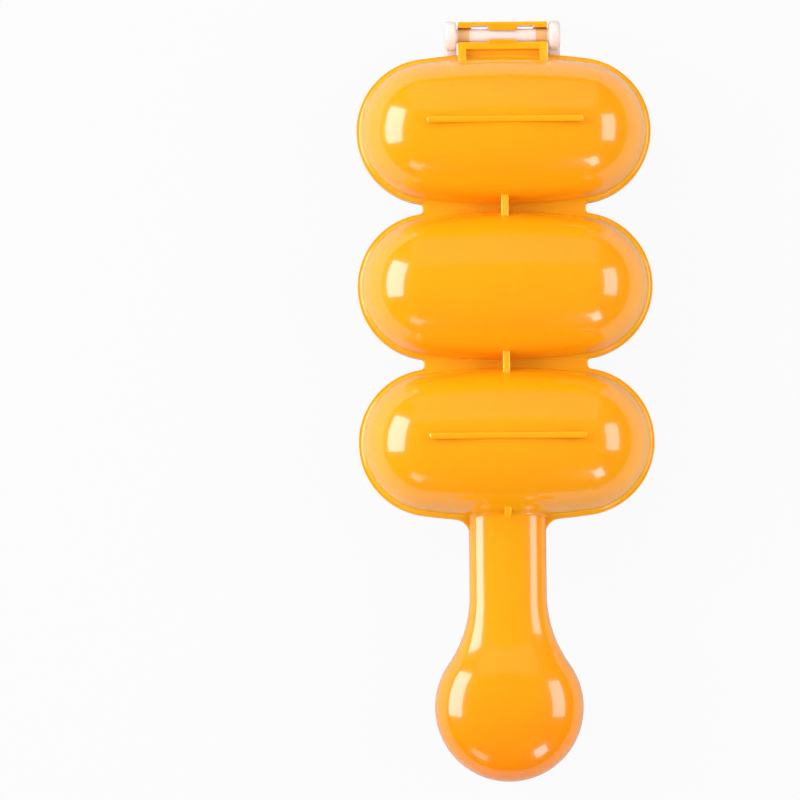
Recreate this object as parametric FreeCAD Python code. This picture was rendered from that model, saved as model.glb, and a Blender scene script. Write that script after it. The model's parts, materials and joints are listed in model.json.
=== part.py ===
import FreeCAD, Part
import math
import os

# Rattle-shaped shaker mould that rolls three barrel-shaped rice balls at once.
# It is two thin plastic mouldings, an upper and a lower half shell, that meet rim to rim.
# Each has three half-barrel cups side by side, a flat web between them and half of a hollow
# handle that ends in a ball. The upper shell's hook clips onto a pin bar that is moulded
# between two ears of the lower shell, and the mould opens flat about that bar like a book.
#
# Millimetres. X runs along the barrels, +Y points from the ball to the hinge and +Z is up.
# The origin is the middle of the closed mould's base, where the foot ribs stand.

# --- Cups -----------------------------------------------------------------------------------
barrel_count = 3
barrel_pitch = 50.4             # from one barrel's middle to the next
cavity_half_length = 44.7       # middle of a cup to its tip, inside
cavity_mid_radius = 22.55       # inside, at the middle of a barrel
cavity_end_radius = 20.85       # inside, of the ball-shaped ends
wall = 1.5                      # of the cups and the handle

# --- Rim and web ----------------------------------------------------------------------------
rim_width = 1.4                 # how far the rim stands out from a cup
rim_thickness = 1.6
notch_depth = 21.2              # from the rims' tips in to the web between two cups
notch_radius = 1.2              # where the web meets two rims
neck_web_radius = 5.0           # of the web in the corner between the last rim and the neck

# --- Handle ---------------------------------------------------------------------------------
neck_radius = 12.4              # half the neck's width
neck_height = 7.7               # above the seam, so that the handle's section is a flat oval
ball_radius = 23.8              # half the ball's width
ball_distance = 85.0            # last barrel's middle to the ball's
flare_radius = 38.8             # hollow curve from the neck to the ball
neck_root_round = 1.5           # where the neck leaves the last cup

# --- Stiffening ribs ------------------------------------------------------------------------
gusset_thickness = 2.2
gusset_height = 10.2            # above the seam, between two cups
neck_gusset_height = 13.6       # on the last cup, above the neck
neck_gusset_reach = 24.6        # last barrel's middle to the gusset's toe on the neck
foot_barrels = (0, 2)           # the cups that carry a foot rib
foot_half_length = 25.0
foot_width = 1.9
foot_stand = 1.0                # above the cup's crest
foot_round = 0.4

# --- Hinge ----------------------------------------------------------------------------------
hinge_distance = 31.2           # first barrel's middle to the pin's axis
pin_radius = 2.3
pin_clearance = 0.06            # between the pin and the hook, all round
hook_half_width = 14.5
hook_height = 3.0               # of the hook's two bars, above the seam
hook_bar = 2.4                  # thickness of the bar on the cup's side
hook_tip_bar = 1.9              # thickness of the bar on the free side, at its ends
hook_round = 0.4
cradle_wall = 1.6               # of the straps that pass under the pin
window_half_width = 10.0        # between the two straps
window_notch = 0.6              # out of the free bar, beside the pin
lug_root_half_width = 4.85
lug_tip_half_width = 4.1
lug_gap = 2.9                   # between the two snap lugs, over the pin
cheek_thickness = 2.65          # of the hook's side walls
cheek_height = 12.0             # above the seam, where they run out on the first cup
ear_gap = 0.45                  # between the hook's side and an ear
ear_thickness = 3.7
ear_radius = 4.8                # of an ear's round head, seen from the side
ear_corner = 1.5                # of its corners, seen from above
ear_bracket_depth = 10.1        # below the seam, where it runs out on the first cup

# --- Worked out from the above --------------------------------------------------------------
cup_radius = cavity_mid_radius + wall
web_half_length = cavity_half_length + wall + rim_width - notch_depth
seam_height = cup_radius + foot_stand
last_barrel = barrel_count - 1
bore_radius = pin_radius + pin_clearance
hook_tip = hinge_distance + bore_radius + hook_tip_bar
ear_tip = hinge_distance + ear_radius
back_end = max(hook_tip, ear_tip)
front_end = last_barrel * barrel_pitch + ball_distance + ball_radius
first_barrel_y = (front_end - back_end) / 2
pin_y = first_barrel_y + hinge_distance
bite = wall / 2                 # how far a rib's root reaches into the wall that carries it
flatness = neck_height / neck_radius
hollow_flatness = (neck_height - wall) / (neck_radius - wall)

PAST = 4 * hook_half_width      # reaches past anything in the hinge
ALONG_X = FreeCAD.Vector(1, 0, 0)
AXIS_BACK = FreeCAD.Vector(0, -1, 0)
SEAM = FreeCAD.Vector(0, 0, 0)


def barrel_y(row):
    """Where barrel number row has its middle. The first is the one beside the hinge."""
    return first_barrel_y - row * barrel_pitch


def arc(start, middle, end):
    """The edge of a round arc through three points."""
    return Part.Arc(start, middle, end).toShape()


def line(start, end):
    """A straight edge."""
    return Part.LineSegment(start, end).toShape()


def box(x, y, z):
    """A box between pairs of low and high values along X, Y and Z."""
    corner = FreeCAD.Vector(x[0], y[0], z[0])
    return Part.makeBox(x[1] - x[0], y[1] - y[0], z[1] - z[0], corner)


def both_sides(solid):
    """A solid and its mirror image across the mould's middle plane, X = 0."""
    return solid.fuse(solid.mirror(SEAM, ALONG_X))


def prism_along_x(points, x):
    """A polygon of (y, z) points, as a solid between two values of X."""
    corners = [FreeCAD.Vector(x[0], y, z) for y, z in points + points[:1]]
    return Part.Face(Part.makePolygon(corners)).extrude(ALONG_X * (x[1] - x[0]))


def edges_where(solid, wanted):
    """The edges of a solid that pass a test, which is given an edge and its middle."""
    return [edge for edge in solid.Edges if wanted(edge.CenterOfMass, edge)]


def is_upright(edge):
    """Whether an edge runs along Z."""
    return abs(edge.tangentAt(edge.FirstParameter).z) > 0.99


def is_sharp(solid, edge):
    """Whether the two faces beside an edge meet at an angle there, and don't run on smoothly."""
    middle = edge.valueAt((edge.FirstParameter + edge.LastParameter) / 2)
    faces = solid.ancestorsOfType(edge, Part.Face)
    normals = [face.normalAt(*face.Surface.parameter(middle)) for face in faces]
    return normals[0].dot(normals[1]) < 0.99


def barrel_edges(grow, side):
    """One long side of a barrel in plan, tip to tip, moved out by grow. Side is 1 for +Y, -1 for -Y."""
    mid = cavity_mid_radius + grow
    end = cavity_end_radius + grow
    end_x = cavity_half_length - cavity_end_radius
    crown = (end_x ** 2 + mid ** 2 - end ** 2) / (2 * (mid - end))
    turn = math.atan2(crown - mid, end_x)

    def on_end(angle, hand):
        x = hand * (end_x + end * math.cos(angle))
        return FreeCAD.Vector(x, side * end * math.sin(angle), 0)

    return [
        arc(on_end(0, 1), on_end(turn / 2, 1), on_end(turn, 1)),
        arc(on_end(turn, 1), FreeCAD.Vector(0, side * mid, 0), on_end(turn, -1)),
        arc(on_end(turn, -1), on_end(turn / 2, -1), on_end(0, -1)),
    ]


def half_barrel(row, grow):
    """The upper half of a barrel, a body of revolution about its own length."""
    edges = barrel_edges(grow, 1)
    chord = line(edges[-1].Vertexes[-1].Point, edges[0].Vertexes[0].Point)
    face = Part.Face(Part.Wire(Part.sortEdges(edges + [chord])[0]))
    solid = face.revolve(SEAM, ALONG_X, 180)
    solid.translate(FreeCAD.Vector(0, barrel_y(row), 0))
    return solid


def rim_plate(row):
    """The flat oval that carries a cup's rim, as thick as the rim."""
    grow = wall + rim_width
    edges = barrel_edges(grow, 1) + barrel_edges(grow, -1)
    plate = Part.Face(Part.Wire(Part.sortEdges(edges)[0])).extrude(FreeCAD.Vector(0, 0, rim_thickness))
    plate.translate(FreeCAD.Vector(0, barrel_y(row), 0))
    return plate


def rims_and_webs():
    """All rims in one plate, with the webs between them and the corner webs beside the neck."""
    plate = rim_plate(0)
    for row in range(1, barrel_count):
        web = box((-web_half_length, web_half_length), (barrel_y(row), barrel_y(row - 1)), (0, rim_thickness))
        plate = plate.fuse([rim_plate(row), web])
    rim_edge = cup_radius + rim_width
    # The strip under the neck is as wide as the oval neck is at the plate's top.
    strip = neck_radius * math.sqrt(1 - (rim_thickness / neck_height) ** 2)
    strip_end = barrel_y(last_barrel) - rim_edge - neck_web_radius - wall
    plate = plate.fuse(box((-strip, strip), (strip_end, barrel_y(last_barrel)), (0, rim_thickness)))
    plate = plate.removeSplitter()

    def in_notch(point, edge):
        return is_upright(edge) and point.y > barrel_y(last_barrel) and is_sharp(plate, edge)

    def beside_neck(point, edge):
        in_corner = strip_end + wall / 2 < point.y < barrel_y(last_barrel)
        return is_upright(edge) and in_corner and is_sharp(plate, edge)

    plate = plate.makeFillet(notch_radius, edges_where(plate, in_notch))
    return plate.makeFillet(neck_web_radius, edges_where(plate, beside_neck))


def half_handle(shrink, squeeze):
    """The upper half of the neck and its ball, from the last barrel's middle.

    It is a round body, moved in by shrink and then squeezed towards the seam into an oval one.
    """
    neck = neck_radius - shrink
    ball = ball_radius - shrink
    flare = flare_radius + shrink
    start_y = barrel_y(last_barrel)
    ball_y = start_y - ball_distance
    flare_y = ball_y + math.sqrt((ball + flare) ** 2 - (neck + flare) ** 2)
    lean = math.atan2(flare_y - ball_y, neck + flare)

    def on_flare(angle):
        return FreeCAD.Vector(neck + flare - flare * math.cos(angle), flare_y - flare * math.sin(angle), 0)

    def on_ball(angle):
        return FreeCAD.Vector(ball * math.cos(angle), ball_y + ball * math.sin(angle), 0)

    top = FreeCAD.Vector(0, start_y, 0)
    shoulder = FreeCAD.Vector(neck, start_y, 0)
    end_angle = -math.pi / 2
    edges = [
        line(top, shoulder),
        line(shoulder, on_flare(0)),
        arc(on_flare(0), on_flare(lean / 2), on_flare(lean)),
        arc(on_ball(lean), on_ball((lean + end_angle) / 2), on_ball(end_angle)),
        line(on_ball(end_angle), top),
    ]
    flatten = FreeCAD.Matrix()
    flatten.scale(1, 1, squeeze)
    return Part.Face(Part.Wire(edges)).revolve(SEAM, AXIS_BACK, 180).transformGeometry(flatten)


def last_cup_with_handle():
    """The last cup and the handle's outside in one, with a small round where they meet."""
    body = half_barrel(last_barrel, wall).fuse(half_handle(0, flatness)).removeSplitter()
    meet_y = barrel_y(last_barrel) - cup_radius

    def where_they_meet(point, edge):
        on_neck = all(
            abs(math.hypot(edge.valueAt(at).x, edge.valueAt(at).z / flatness) - neck_radius) < 0.01
            for at in (edge.FirstParameter, (edge.FirstParameter + edge.LastParameter) / 2, edge.LastParameter)
        )
        return on_neck and point.z > neck_height / 4 and meet_y - wall < point.y < meet_y + neck_height

    return body.makeFillet(neck_root_round, edges_where(body, where_they_meet))


def gusset(row):
    """The small upright rib that ties two cups across the web between them."""
    middle = (barrel_y(row) + barrel_y(row + 1)) / 2
    reach = barrel_pitch / 2 - math.sqrt(cup_radius ** 2 - gusset_height ** 2) + bite
    half = gusset_thickness / 2
    return box((-half, half), (middle - reach, middle + reach), (0, gusset_height))


def neck_gusset():
    """The rib that slopes from the last cup down onto the neck."""
    half = gusset_thickness / 2
    cup_y = barrel_y(last_barrel) - math.sqrt(cup_radius ** 2 - neck_gusset_height ** 2) + bite
    toe_y = barrel_y(last_barrel) - neck_gusset_reach
    root_z = neck_height - bite
    points = [(cup_y, neck_gusset_height), (toe_y, neck_height), (toe_y, root_z), (cup_y, root_z)]
    return prism_along_x(points, (-half, half))


def foot(row):
    """The long rib on a cup's crest, flat on top, on which the mould stands."""
    half = foot_width / 2
    y = barrel_y(row)
    rib = box((-foot_half_length, foot_half_length), (y - half, y + half), (cup_radius / 2, seam_height))
    return rib.makeFillet(foot_round, edges_where(rib, lambda point, edge: point.z > cup_radius / 2 + 0.01))


def cavities():
    """What is hollowed out of a half shell: its cups and the handle, with the cup's wall between them."""
    cups = [half_barrel(row, 0) for row in range(barrel_count)]
    hollow_handle = half_handle(wall, hollow_flatness).cut(half_barrel(last_barrel, wall))
    return cups + [hollow_handle]


def half_outside():
    """A half shell before it is hollowed out, seam down, without its hinge."""
    parts = [half_barrel(row, wall) for row in range(last_barrel)]
    parts += [gusset(row) for row in range(last_barrel)]
    parts += [foot(row) for row in foot_barrels]
    parts += [neck_gusset(), rims_and_webs()]
    return last_cup_with_handle().fuse(parts)


def hollowed(outside):
    """A finished half shell from its outside, as one clean solid."""
    shell = outside.cut(cavities()).removeSplitter()
    return shell.Solids[0]


def hook_cheek():
    """A side wall of the hook, on +X, that climbs from the hook's bar onto the first cup."""
    outer = hook_half_width
    bar_face = pin_y - bore_radius - hook_bar
    cup_y = barrel_y(0) + math.sqrt(cup_radius ** 2 - cheek_height ** 2) - wall
    points = [(cup_y, 0), (pin_y - bore_radius, 0), (pin_y - bore_radius, hook_height)]
    points += [(bar_face, hook_height), (cup_y, cheek_height)]
    return prism_along_x(points, (outer - cheek_thickness, outer))


def snap_lug():
    """The wedge on the cup's side of the slot that holds the pin down. The other is its mirror image."""
    root_y = pin_y - bore_radius - bite
    edge_y = pin_y - bore_radius
    tip_y = pin_y - lug_gap / 2
    half = [(lug_root_half_width, root_y), (lug_root_half_width, edge_y), (lug_tip_half_width, tip_y)]
    plan = half + [(-x, y) for x, y in reversed(half)]
    corners = [FreeCAD.Vector(x, y, 0) for x, y in plan + plan[:1]]
    return Part.Face(Part.makePolygon(corners)).extrude(FreeCAD.Vector(0, 0, hook_height))


def hook():
    """The upper shell's half of the hinge: two bars, straps under the pin and lugs over it."""
    wide = (-hook_half_width, hook_half_width)
    bar_end = pin_y - bore_radius
    tip_y = pin_y + bore_radius + hook_tip_bar
    root_y = barrel_y(0) + cup_radius - bite
    block = box(wide, (bar_end - hook_bar, tip_y), (0, hook_height))

    def outer_edges(point, edge):
        upright_corner = abs(point.y - tip_y) < 0.01 and abs(abs(point.x) - hook_half_width) < 0.01
        top_end = abs(point.y - tip_y) < 0.01 and point.z > hook_height - 0.01
        return upright_corner or top_end

    block = block.makeFillet(hook_round, edges_where(block, outer_edges))
    slot = box(wide, (bar_end, pin_y + bore_radius), (0, hook_height))
    notch = box((-window_half_width, window_half_width), (pin_y, pin_y + bore_radius + window_notch), (0, hook_height))
    block = block.cut([slot, notch])
    floor = box(wide, (root_y, bar_end), (0, rim_thickness))
    strap_start = FreeCAD.Vector(window_half_width, pin_y, 0)
    strap = Part.makeCylinder(bore_radius + cradle_wall, hook_half_width - window_half_width, strap_start, ALONG_X)
    strap = strap.cut(box((0, PAST), (pin_y - PAST, pin_y + PAST), (0, PAST)))
    lug = snap_lug()
    far_lug = lug.mirror(FreeCAD.Vector(0, pin_y, 0), AXIS_BACK)
    # The free bar is notched beside the pin, so its lug starts further back.
    far_root = box((-lug_root_half_width, lug_root_half_width),
                   (pin_y + bore_radius, pin_y + bore_radius + window_notch + bite), (0, hook_height))
    body = block.fuse([floor, both_sides(strap), both_sides(hook_cheek()), lug, far_lug, far_root])
    bore = Part.makeCylinder(bore_radius, 2 * PAST, FreeCAD.Vector(-PAST, pin_y, 0), ALONG_X)
    return body.cut(bore)


def ear():
    """One of the lower shell's ears, on +X and seam up: a round head on a bracket from the first cup."""
    inner = hook_half_width + ear_gap
    foot_y = barrel_y(0) + math.sqrt(cup_radius ** 2 - ear_bracket_depth ** 2) - wall
    foot_z = -ear_bracket_depth
    away = math.hypot(pin_y - foot_y, foot_z)
    lean = math.atan2(foot_z, foot_y - pin_y) + math.acos(ear_radius / away)

    def on_head(angle):
        return FreeCAD.Vector(inner, pin_y + ear_radius * math.cos(angle), ear_radius * math.sin(angle))

    root = FreeCAD.Vector(inner, foot_y, 0)
    toe = FreeCAD.Vector(inner, foot_y, foot_z)
    edges = [
        line(root, on_head(math.pi)),
        arc(on_head(math.pi), on_head((math.pi + lean) / 2), on_head(lean)),
        line(on_head(lean), toe),
        line(toe, root),
    ]
    plate = Part.Face(Part.Wire(edges)).extrude(ALONG_X * ear_thickness)
    outline = box((inner, inner + ear_thickness), (foot_y, pin_y + ear_radius), (foot_z, ear_radius))
    ends = edges_where(outline, lambda point, edge: is_upright(edge) and point.y > pin_y)
    return plate.common(outline.makeFillet(ear_corner, ends))


def pin_bar():
    """The bar that the hook clips onto, moulded between the two ears."""
    half = hook_half_width + ear_gap + ear_thickness / 2
    return Part.makeCylinder(pin_radius, 2 * half, FreeCAD.Vector(-half, pin_y, 0), ALONG_X)


def make_upper_shell():
    """The glossy upper half, with its foot ribs on top and the hook at the hinge."""
    return hollowed(half_outside().fuse(hook()))


def make_lower_shell():
    """The see-through lower half, the same shape turned over, with the ears and the pin bar."""
    seam_normal = FreeCAD.Vector(0, 0, 1)
    hinge = both_sides(ear()).fuse(pin_bar()).mirror(SEAM, seam_normal)
    return hollowed(half_outside().fuse(hinge)).mirror(SEAM, seam_normal)


def main():
    os.makedirs("parts", exist_ok=True)
    for name, make in (("lower_shell", make_lower_shell), ("upper_shell", make_upper_shell)):
        shell = make()
        shell.translate(FreeCAD.Vector(0, 0, seam_height))
        shell.exportStep("parts/" + name + ".step")


main()
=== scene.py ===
"""A hinged shaker mould for three barrel-shaped rice balls, dressed for rendering.

Two moulded half shells stand for the mould's two construction solids: a glossy orange upper half
and a milky see-through lower half. Each is joined from smooth closed forms by one node tree, and
every form carries its own true surface normals through the joining, so that the gloss runs on
without facets. Metres. X runs along the barrels, +Y points to the hinge and +Z is up.
"""

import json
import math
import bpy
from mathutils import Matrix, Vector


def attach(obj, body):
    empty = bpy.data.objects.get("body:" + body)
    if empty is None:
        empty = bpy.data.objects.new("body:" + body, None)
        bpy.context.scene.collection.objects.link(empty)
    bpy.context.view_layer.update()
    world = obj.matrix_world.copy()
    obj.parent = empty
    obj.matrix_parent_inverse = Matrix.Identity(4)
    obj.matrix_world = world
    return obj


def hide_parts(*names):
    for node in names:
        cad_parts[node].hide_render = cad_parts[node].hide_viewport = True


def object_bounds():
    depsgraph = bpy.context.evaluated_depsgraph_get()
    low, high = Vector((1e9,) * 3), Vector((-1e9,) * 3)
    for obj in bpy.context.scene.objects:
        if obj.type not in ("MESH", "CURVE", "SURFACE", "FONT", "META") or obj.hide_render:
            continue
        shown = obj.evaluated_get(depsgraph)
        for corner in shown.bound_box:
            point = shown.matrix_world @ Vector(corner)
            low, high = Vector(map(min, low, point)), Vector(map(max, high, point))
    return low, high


bl_info = {
    "name": "Rice Ball Shaker Mould",
    "version": (1, 0, 0),
    "blender": (4, 5, 0),
    "location": "View3D > Sidebar > Rice Mould",
    "description": "Builds the two half shells of a hinged rice ball mould, with its stage",
    "category": "Object",
}

import bmesh
import bpy
import numpy as np
from bpy.props import FloatProperty, FloatVectorProperty, IntProperty, PointerProperty
from mathutils import Matrix, Vector

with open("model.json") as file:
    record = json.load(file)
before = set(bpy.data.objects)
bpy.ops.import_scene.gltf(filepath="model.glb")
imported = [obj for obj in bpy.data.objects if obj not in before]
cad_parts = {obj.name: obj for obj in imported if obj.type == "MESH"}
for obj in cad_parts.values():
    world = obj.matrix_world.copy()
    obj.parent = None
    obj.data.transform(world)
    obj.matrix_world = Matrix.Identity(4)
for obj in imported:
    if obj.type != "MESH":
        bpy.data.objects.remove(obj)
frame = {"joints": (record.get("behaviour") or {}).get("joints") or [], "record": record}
cad_low, cad_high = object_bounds()

HINGE = frame["joints"][0]["pos_m"]
MOUNTS = {mount["name"]: mount["pos_m"] for mount in frame["record"]["mounts"]}
FIRST_CUP = MOUNTS["foot_hinge_end"][1]
LAST_CUP = MOUNTS["foot_handle_end"][1]
MM = 0.001

ALONG_X = np.array([(1, 0, 0), (0, 1, 0), (0, 0, 1)], float)
ALONG_Y = np.array([(0, 1, 0), (0, 0, 1), (1, 0, 0)], float)
UP = np.array([0.0, 0.0, 1.0])
ON_EDGE = (2, 0, 1)             # the order of axes that stands a slab on edge, its thickness along X

NORMAL = "surface_normal"       # the attribute that carries each form's true normals
LIGHT_AND_THINNESS = "painted_light_and_thinness"           # how far a form is painted paler, partly for thin plastic and partly as painted fill light in shade: 0 at a cup's crest, below 0 painted shade
SHOW_THROUGH = "painted_show_through"                 # how far the other half's colour is painted on a form, standing in for light that shines through it

TURN_STEPS = 144                # facets round a whole turn of a lathed form
PROFILE_STEPS = 120             # facets along a barrel, from tip to tip
ROUND_STEPS = 4                 # facets across a small rounded edge
CORNER_STEPS = 6                # least facets round a corner in plan
ARC_STEP = math.radians(2)      # how far one facet of a longer arc turns
MERGE_DISTANCE = 1e-7           # points nearer to each other than this become one

SEAM_CLEARANCE = 0.015 * MM     # each half stays this far off the seam, so that the faces don't touch
STRAP_CORNER = 0.1 * MM         # round where a strap meets the seam
TIP_CORNER = 1.5                # corner of the web under the neck, in rounds of the rim's edge
ROOT_OVERLAP = 0.2              # how far the neck's root turns on below the seam, in radians
BORE_LENGTH = 1.5               # reach of the bore's cutter, in half widths of the hook
BEYOND = 0.2                    # reach of the cutter below the seam, beyond every form

# The marks of each form, by its name. Any other form's are 0.
# The light-and-thinness marks paint cups, webs, fillets, ribs and hook parts paler, partly for thin plastic
# and partly as painted fill light in shade; the handle's, below 0, is painted shade.
MARKS = {
    LIGHT_AND_THINNESS: {
        "cup": 0.12, "handle": -0.30, "handle_hollow": -0.30, "bead": 0.35, "web": 0.25,
        "gusset": 0.35, "neck_gusset": 0.3, "foot": 0.05, "hook_near_bar": 0.2,
        "hook_far_bar": 0.15, "hook_floor": 0.3, "strap": 0.15, "cheek": 0.35,
    },
    SHOW_THROUGH: {"pin_end": 1.0},
}
CUP_LIGHT_FADE = 20 * MM, 8 * MM      # heights between which a cup's painted fill light grows, downwards, on its shaded lower flanks
BALL_SHADE_FADE = 0.85                # the handle's painted shade grows from this many radii before the ball's middle

LEAST_ALIGNED = 0.7             # cosine to its face below which a carried normal isn't used
LEAST_LENGTH = 0.5              # length below which a carried normal isn't used


def length(label, description, millimetres):
    """A size that a user may change, in Blender's own metres."""
    default = millimetres * MM
    return FloatProperty(name=label, description=description, default=default, unit="LENGTH", precision=5)


def tint(label, description, colour):
    """A colour that a user may change, in linear light."""
    return FloatVectorProperty(name=label, description=description, default=colour, subtype="COLOR", size=3)


class MouldSizes(bpy.types.PropertyGroup):
    """Sizes of the mould's moulded forms."""

    cups: IntProperty(name="Cups", description="Number of barrel-shaped cups", default=3)
    feet: IntProperty(name="Foot Ribs", description="Foot ribs on each half, spread evenly", default=2)
    cavity_half_length: length("Cup Half Length", "Middle of a cup to its tip, inside", 44.7)
    cavity_mid_radius: length("Cup Middle Radius", "Inside, at the middle of a barrel", 22.55)
    cavity_end_radius: length("Cup End Radius", "Inside, of the ball-shaped ends", 20.85)
    wall: length("Wall", "Thickness of the cups and the handle", 1.5)

    rim_width: length("Rim Width", "How far the rim stands out from a cup", 1.4)
    rim_thickness: length("Rim Thickness", "Thickness of the rim and the webs", 1.6)
    rim_round: length("Rim Edge Round", "Rounding along the rim's outer edge", 0.25)
    seam_round: length("Seam Edge Round", "Rounding along the edge at the seam", 0.12)
    bead_radius: length("Rim Fillet", "Hollow round between a cup and its rim", 1.0)
    notch_depth: length("Notch Depth", "From the rims' tips in to the web between two cups", 21.2)
    notch_radius: length("Notch Radius", "Corner where the web meets two rims", 1.2)
    neck_web_radius: length("Neck Web Radius", "Corner web between the last rim and the neck", 5.0)

    neck_radius: length("Neck Radius", "Half the width of the handle's neck", 12.4)
    neck_height: length("Neck Height", "Neck above the seam, which sets how flat the handle is", 7.7)
    handle_fullness: FloatProperty(
        name="Handle Fullness", description="2 makes an oval, more fills its corners", default=2.3
    )
    ball_radius: length("Ball Radius", "Half the width of the handle's ball", 23.8)
    ball_distance: length("Ball Distance", "Last cup's middle to the ball's", 85.0)
    flare_radius: length("Flare Radius", "Hollow curve from the neck to the ball", 38.8)
    neck_root_round: length("Neck Root Round", "Where the neck leaves the last cup", 1.5)

    gusset_thickness: length("Gusset Thickness", "Upright ribs across the webs", 2.4)
    gusset_height: length("Gusset Height", "Above the seam, between two cups", 10.2)
    neck_gusset_height: length("Neck Gusset Height", "On the last cup, above the neck", 13.6)
    neck_gusset_reach: length("Neck Gusset Reach", "Last cup's middle to the gusset's toe", 24.6)
    gusset_round: length("Gusset Edge Round", "Rounding along the gussets' upper edges", 0.5)
    foot_half_length: length("Foot Half Length", "Middle of a foot rib to its end", 25.0)
    foot_width: length("Foot Width", "Across a foot rib", 2.1)
    foot_offset: length("Foot Offset", "From the cup's crest towards the hinge", 0.7)
    foot_stand: length("Foot Stand", "Foot rib above the cup's crest", 1.0)
    foot_round: length("Foot Edge Round", "Rounding of a foot rib", 0.8)

    pin_radius: length("Pin Radius", "Bar that the hook turns on", 2.3)
    pin_clearance: length("Pin Clearance", "Between the pin and the hook, all round", 0.06)
    hook_half_width: length("Hook Half Width", "Middle of the hook to its side", 14.5)
    hook_height: length("Hook Height", "Hook's two bars, above the seam", 3.0)
    hook_bar: length("Hook Bar", "Thickness of the bar on the cup's side", 2.4)
    hook_tip_bar: length("Hook Tip Bar", "Thickness of the free bar, at its ends", 1.9)
    hook_round: length("Hook Edge Round", "Rounding of the hook's edges", 0.4)
    cradle_wall: length("Cradle Wall", "Straps that pass under the pin", 1.6)
    window_half_width: length("Window Half Width", "Between the two straps", 10.0)
    window_notch: length("Window Notch", "Out of the free bar, beside the pin", 0.6)
    lug_root_half_width: length("Lug Root", "Half the width of a snap lug at its root", 4.85)
    lug_tip_half_width: length("Lug Tip", "Half the width of a snap lug at its tip", 4.1)
    lug_gap: length("Lug Gap", "Between the two snap lugs", 2.9)
    lug_round: length("Lug Edge Round", "Rounding of a snap lug", 0.25)
    cheek_thickness: length("Cheek Thickness", "Side walls of the hook", 2.65)
    cheek_height: length("Cheek Height", "Above the seam, on the first cup", 12.0)
    ear_gap: length("Ear Gap", "Between the hook's side and an ear", 0.45)
    ear_thickness: length("Ear Thickness", "Across an ear", 3.7)
    ear_radius: length("Ear Radius", "Round head of an ear, seen from the side", 4.8)
    ear_round: length("Ear Edge Round", "Rounding of an ear's edges", 1.2)
    ear_bracket_depth: length("Ear Bracket Depth", "Where it runs out on the first cup", 10.1)


class MouldColours(bpy.types.PropertyGroup):
    """Colours of the mould's two plastics and of the floor."""

    orange: tint("Orange", "Glossy upper half", (1.0, 0.350, 0.001))
    # Paler orange, painted where the marks call for thin plastic or for painted fill light in shade.
    thin_orange: tint("Thin Orange", "Upper half where light shines through it", (1.0, 0.62, 0.02))
    milk: tint("Milk", "See-through lower half", (1.0, 0.84, 0.79))
    # Painted peach on the pin's ends, standing in for the orange straps seen through them.
    peach: tint("Peach", "Pin's ends, which the orange straps shine through", (1.0, 0.60, 0.27))
    floor: tint("Floor", "Plain pale floor", (0.42, 0.42, 0.42))


# --- Closed forms with true normals ---


def solid_from_rings(name, rings, cap=None):
    """A closed mesh object from rings of (points, normals). With cap, both ends are closed flat."""
    points = np.concatenate([ring[0] for ring in rings])
    normals = np.concatenate([ring[1] for ring in rings])
    count = len(rings[0][0])
    faces = []
    for row in range(len(rings) - 1):
        start = row * count
        for i in range(count):
            j = (i + 1) % count
            faces.append((start + i, start + j, start + count + j, start + count + i))
    corner_normals = [normals[corner] for face in faces for corner in face]
    if cap is not None:
        last = (len(rings) - 1) * count
        faces.append(tuple(reversed(range(count))))
        faces.append(tuple(range(last, last + count)))
        corner_normals += [-cap] * count + [cap] * count
    mesh = bpy.data.meshes.new(name)
    mesh.from_pydata(points.tolist(), [], faces)
    attribute = mesh.attributes.new(NORMAL, "FLOAT_VECTOR", "CORNER")
    attribute.data.foreach_set("vector", np.asarray(corner_normals, np.float32).ravel())
    form = bmesh.new()
    form.from_mesh(mesh)
    bmesh.ops.remove_doubles(form, verts=form.verts, dist=MERGE_DISTANCE)
    form.to_mesh(mesh)
    form.free()
    for mark, shares in MARKS.items():
        values = np.full(len(mesh.loops), shares.get(name, 0.0), np.float32)
        mesh.attributes.new(mark, "FLOAT", "CORNER").data.foreach_set("value", values)
    return bpy.data.objects.new(name, mesh)


def oval(angles, fullness):
    """Cosines and sines on a unit circle, or a fuller oval, and the direction of its normals."""
    round_pair = np.stack([np.cos(angles), np.sin(angles)])
    pair = np.sign(round_pair) * np.abs(round_pair) ** (2 / fullness)
    return pair, np.sign(pair) * np.abs(pair) ** (fullness - 1)


def column(items, field, kind=np.float32, width=1):
    """One field of every item as an array, with a row to an item where it is several numbers wide."""
    values = np.zeros(len(items) * width, kind)
    items.foreach_get(field, values)
    return values.reshape(-1, width) if width > 1 else values


def faded(form, along, start, end):
    """The form with its mark of painted light and thinness growing from 0 to full between two values of X,
    Y or Z.
    """
    mesh = form.data
    at = column(mesh.vertices, "co", width=3)[column(mesh.loops, "vertex_index", np.int32), along]
    marks = mesh.attributes[LIGHT_AND_THINNESS].data
    grown = column(marks, "value") * np.clip((at - start) / (end - start), 0, 1)
    marks.foreach_set("value", grown.astype(np.float32))
    return form


def lathe(name, profile, axes, flatness=1.0, fullness=2.0):
    """A form turned about axes[0], from a profile of (place, radius, normal along, normal out).

    Fullness fills the corners of its round section, and flatness squeezes it in height.
    """
    pair, facing = oval((np.arange(TURN_STEPS) + 0.5) * 2 * math.pi / TURN_STEPS, fullness)
    section, section_normals = pair.T @ axes[1:], facing.T @ axes[1:]
    squeeze = np.array([1.0, 1.0, flatness])
    rings = []
    for at, radius, lean, out in profile:
        normals = (lean * axes[0] + out * section_normals) / squeeze
        normals /= np.linalg.norm(normals, axis=1)[:, None]
        rings.append(((at * axes[0] + radius * section) * squeeze, normals))
    return solid_from_rings(name, rings)


def cylinder(name, radius, low, high, centre):
    """A plain bar along X about a (y, z) centre."""
    profile = [(low, 0, -1, 0), (low, radius, -1, 0), (low, radius, 0, 1)]
    profile += [(high, radius, 0, 1), (high, radius, 1, 0), (high, 0, 1, 0)]
    bar = lathe(name, profile, ALONG_X)
    bar.data.transform(Matrix.Translation((0, centre[0], centre[1])))
    return bar


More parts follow.
